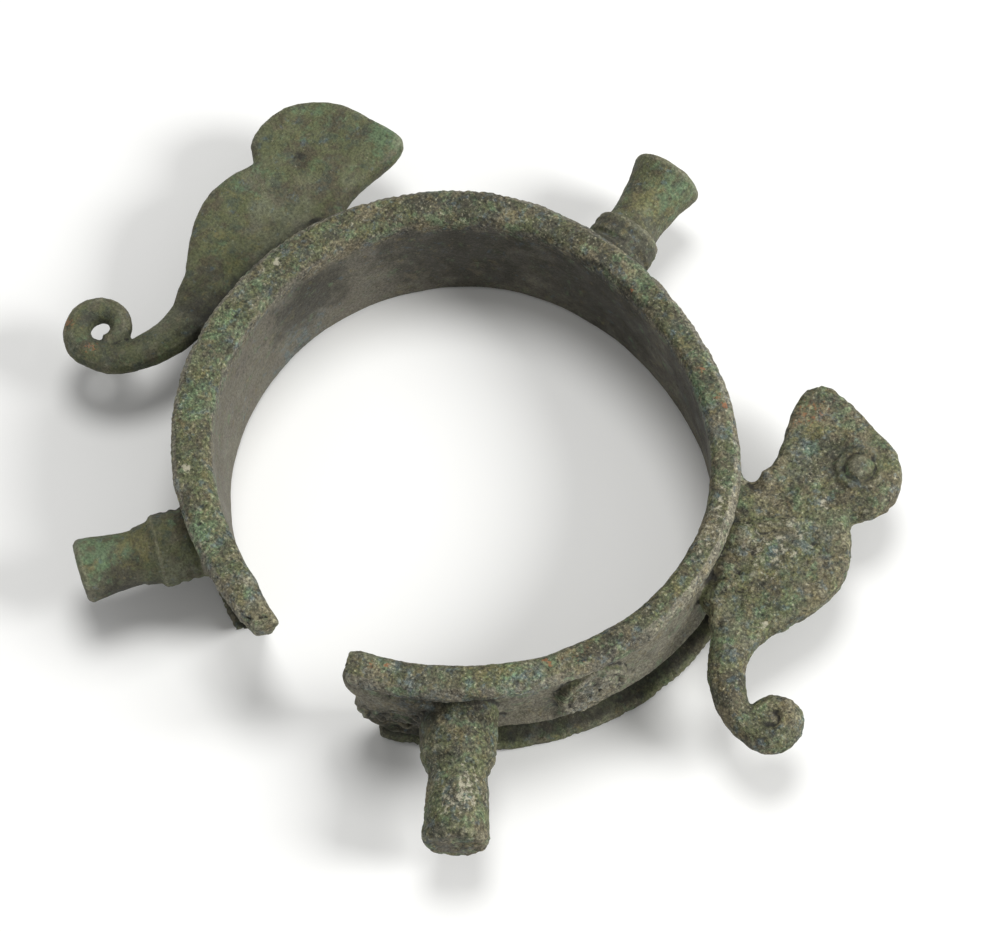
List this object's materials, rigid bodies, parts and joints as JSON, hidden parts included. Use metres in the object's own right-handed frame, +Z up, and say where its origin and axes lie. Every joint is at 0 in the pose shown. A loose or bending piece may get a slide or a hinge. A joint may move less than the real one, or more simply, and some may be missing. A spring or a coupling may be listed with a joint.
{
  "type": "manilla",
  "caption": "Open cast bracelet with two rims, flared studs, oval bosses and a flat chameleon with a curled tail on each side.",
  "frame": {"origin": "middle of the casting's box in plan, on the underside of the lower rim", "axes": "+X across both animals, +Y from the gap to the far stud, +Z up through the hoop"},
  "size_m": [0.1216, 0.1014, 0.0206],
  "materials": {
    "patinated_bronze": "weathered cast copper alloy, matt olive brown with green corrosion and pale crust"
  },
  "bodies": {
    "root": {"manilla": "patinated_bronze"}
  },
  "joints": []
}
